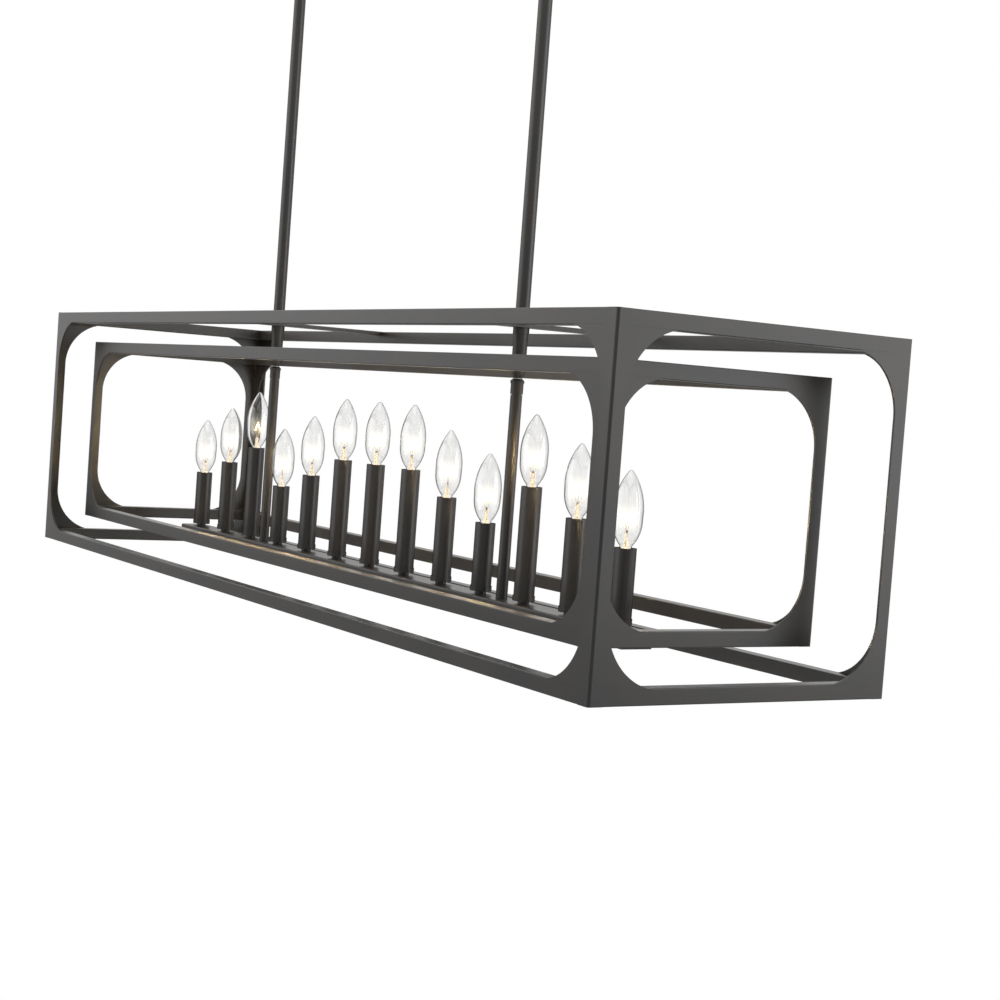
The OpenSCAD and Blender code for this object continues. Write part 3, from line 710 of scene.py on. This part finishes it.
def lamp_base(name, body, x, sleeve_z):
    """Screw shell with rings for its thread, insulating glass and contact."""
    bm = bmesh.new()
    rounds = int((BASE_TOP_Z - BASE_FOOT_Z - UNTHREADED) / THREAD_PITCH)
    shell = [(SHELL_MOUTH_R, BASE_TOP_Z), (BASE_R, BASE_TOP_Z), (BASE_R, BASE_TOP_Z - SHELL_COLLAR)]
    for k in range(rounds * THREAD_POINTS + 1):
        wave = 0.5 - 0.5 * math.cos(math.tau * k / THREAD_POINTS)
        shell.append((BASE_R - THREAD_DEPTH * wave,
                      BASE_TOP_Z - SHELL_COLLAR - THREAD_PITCH * k / THREAD_POINTS))
    shell += [(BASE_R - 1.0, BASE_FOOT_Z + 0.8), INSULATOR_TOP]
    insulator = [INSULATOR_TOP, CONTACT_TOP]
    contact = [CONTACT_TOP, (CONTACT_R - 0.4, CONTACT_FOOT_Z + 0.2),
               (CONTACT_R - 1.2, CONTACT_FOOT_Z), (0, CONTACT_FOOT_Z)]
    shell_floor = [(SHELL_MOUTH_R, BASE_TOP_Z), (0, BASE_TOP_Z - SHELL_FLOOR_DROP)]
    for outline, slot in ((shell, 0), (insulator, 1), (contact, 2), (shell_floor, 0)):
        lathe(bm, outline, BASE_SIDES, slot)
    weld_up(bm)
    set_on_sleeve(bm, x, sleeve_z)
    return piece(name, bm, [BRASS, BLACK_GLASS, STEEL], body)


for number in range(1, LAMPS + 1):
    low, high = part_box("bulb_%d" % number)
    x = (low[0] + high[0]) / 2
    sleeve_z = low[2] + LAMP_FOOT_BELOW_SLEEVE * MM
    body = "lamp_%d" % number
    turn = math.radians(TURN_FROM_LAMP_TO_LAMP * number)
    envelope = lamp_envelope("envelope_%d" % number, body, x, sleeve_z)
    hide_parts("bulb_%d" % number)
    lamp_stem("glass_stem_%d" % number, body, x, sleeve_z, turn)
    lamp_wires("leads_%d" % number, body, x, sleeve_z, turn)
    lamp_coil("coil_%d" % number, body, x, sleeve_z, turn)
    lamp_base("screw_base_%d" % number, body, x, sleeve_z)


# Stage, light and camera. Lengths are in metres, angles in degrees and powers in watts.

posts_low, posts_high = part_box("outer_posts")
FRAME_MID_Z = (posts_low[2] + posts_high[2]) / 2
FRAME_MIDDLE = (0, 0, FRAME_MID_Z)

FLOOR_BELOW = 3.4
FLOOR_SIZE = 140.0
FLOOR_SQUARES = 8
MIRRORED_FLOOR = 0.5

SKY_LIGHT = 0.5
DARK_SIDE = (0.99, -0.14, 0.0)
DARK_FROM = 12.0
DARK_TO = 80.0
DARK_LEVEL = 0.05
LIT_ABOVE = 0.1
MIRRORED_SKY = 0.95

# Each softbox has its place, the length of its side and its power
SOFTBOXES = {
    "front_softbox": ((-1.0, -3.2, FRAME_MID_Z + 0.6), 2.6, 26),
    "left_softbox": ((-2.8, -2.1, FRAME_MID_Z + 1.2), 2.2, 11),
    "right_softbox": ((2.8, 2.2, FRAME_MID_Z + 0.6), 2.4, 43),
    "top_softbox": ((0.3, -0.4, 1.6), 2.4, 24),
}

# The camera stands where the photograph was taken, found from the frames' edges
CAMERA_AT = (2.0917, -1.117, FRAME_MID_Z + 0.0851)
CAMERA_YAW = 57.975
CAMERA_PITCH = -2.973
CAMERA_ROLL = 4.213
CAMERA_LENS = 66.344
CAMERA_SENSOR = 36.0
CAMERA_SEES_TO = 100.0


def show_white(nodes, links, shader_out, output):
    """Camera, mirror and glass rays see plain white where the surface or sky is seen."""
    rays = nodes.new("ShaderNodeLightPath")
    seen = rays.outputs["Is Camera Ray"]
    for kind in ("Is Glossy Ray", "Is Transmission Ray"):
        seen = worked_out(nodes, links, "MAXIMUM", seen, rays.outputs[kind])
    glow = nodes.new("ShaderNodeEmission" if output.bl_idname == "ShaderNodeOutputMaterial"
                     else "ShaderNodeBackground")
    glow.inputs["Color"].default_value = (1, 1, 1, 1)
    links.new(blended(nodes, links, seen, shader_out, glow.outputs[0]), output.inputs["Surface"])
    return glow, rays


def mirror_share(nodes, links, rays):
    """One for rays that a surface mirrors, zero for rays that pass through glass."""
    return worked_out(nodes, links, "SUBTRACT", rays.outputs["Is Glossy Ray"],
                      rays.outputs["Is Transmission Ray"], clamp=True)


def studio_floor():
    """The plain pale floor, a little darker in what the metal mirrors."""
    finish, nodes, links, shader = clouded_finish(
        "studio_floor", scale=3, detail=2, dark=(0.86, 0.86, 0.86), light=(0.88, 0.88, 0.88),
        roughness=0.9)
    glow, rays = show_white(nodes, links, shader.outputs["BSDF"], nodes["Material Output"])
    mirrored = spread(nodes, links, mirror_share(nodes, links, rays), 1.0, MIRRORED_FLOOR,
                      start=0.0, end=1.0)
    links.new(mirrored, glow.inputs["Strength"])
    bm = bmesh.new()
    bmesh.ops.create_grid(bm, x_segments=FLOOR_SQUARES, y_segments=FLOOR_SQUARES,
                          size=FLOOR_SIZE / 2)
    bmesh.ops.translate(bm, vec=(0, 0, cad_box[0][2] - FLOOR_BELOW), verts=bm.verts)
    floor = as_object("floor", bm, [finish])


def dim_one_side(nodes, links, glow, rays):
    """The studio is dark round the camera's place, which shows only in what the metal mirrors."""
    way = nodes.new("ShaderNodeTexCoord")
    toward = nodes.new("ShaderNodeVectorMath")
    toward.operation = "DOT_PRODUCT"
    toward.inputs[1].default_value = DARK_SIDE
    links.new(way.outputs["Generated"], toward.inputs[0])
    shade = spread(nodes, links, toward.outputs["Value"], MIRRORED_SKY, DARK_LEVEL,
                   math.cos(math.radians(DARK_TO)), math.cos(math.radians(DARK_FROM)),
                   "SMOOTHSTEP")
    height = nodes.new("ShaderNodeSeparateXYZ")
    links.new(way.outputs["Generated"], height.inputs["Vector"])
    above = spread(nodes, links, height.outputs["Z"], 0.0, 1.0, 0.0, LIT_ABOVE, "SMOOTHSTEP")
    mirrored = nodes.new("ShaderNodeMix")
    mirrored.data_type = "FLOAT"
    mirrored.inputs["A"].default_value = 1.0
    links.new(mirror_share(nodes, links, rays), mirrored.inputs["Factor"])
    links.new(worked_out(nodes, links, "MAXIMUM", shade, above), mirrored.inputs["B"])
    links.new(mirrored.outputs["Result"], glow.inputs["Strength"])


def studio_world():
    """The soft sky of the studio."""
    world = bpy.data.worlds.new("studio")
    world.use_nodes = True
    nodes = world.node_tree.nodes
    links = world.node_tree.links
    soft = nodes["Background"]
    soft.inputs["Strength"].default_value = SKY_LIGHT
    soft.inputs["Color"].default_value = (1, 1, 1, 1)
    glow, rays = show_white(nodes, links, soft.outputs["Background"], nodes["World Output"])
    dim_one_side(nodes, links, glow, rays)
    bpy.context.scene.world = world


def softbox(name, place, side, power):
    """A square area lamp that is aimed at the middle of the frame."""
    lamp = bpy.data.lights.new(name, "AREA")
    lamp.shape = "SQUARE"
    lamp.size = side
    lamp.energy = power
    box = bpy.data.objects.new(name, lamp)
    at = Vector(place)
    aim = (Vector(FRAME_MIDDLE) - at).to_track_quat("-Z", "Y").to_matrix().to_4x4()
    box.matrix_world = Matrix.Translation(at) @ aim
    box.visible_camera = False
    bpy.context.scene.collection.objects.link(box)


def photo_camera():
    """The camera at the photograph's viewing angle."""
    eye = bpy.data.cameras.new("camera")
    eye.lens = CAMERA_LENS
    eye.sensor_width = CAMERA_SENSOR
    eye.clip_end = CAMERA_SEES_TO
    camera = bpy.data.objects.new("camera", eye)
    camera.matrix_world = (Matrix.Translation(CAMERA_AT)
                           @ Matrix.Rotation(math.radians(CAMERA_YAW), 4, "Z")
                           @ Matrix.Rotation(math.radians(90 + CAMERA_PITCH), 4, "X")
                           @ Matrix.Rotation(math.radians(CAMERA_ROLL), 4, "Z"))
    bpy.context.scene.collection.objects.link(camera)
    bpy.context.scene.camera = camera


studio_floor()
studio_world()
for name, (place, side, power) in SOFTBOXES.items():
    softbox(name, place, side, power)
photo_camera()
bpy.context.scene.view_settings.view_transform = "Standard"
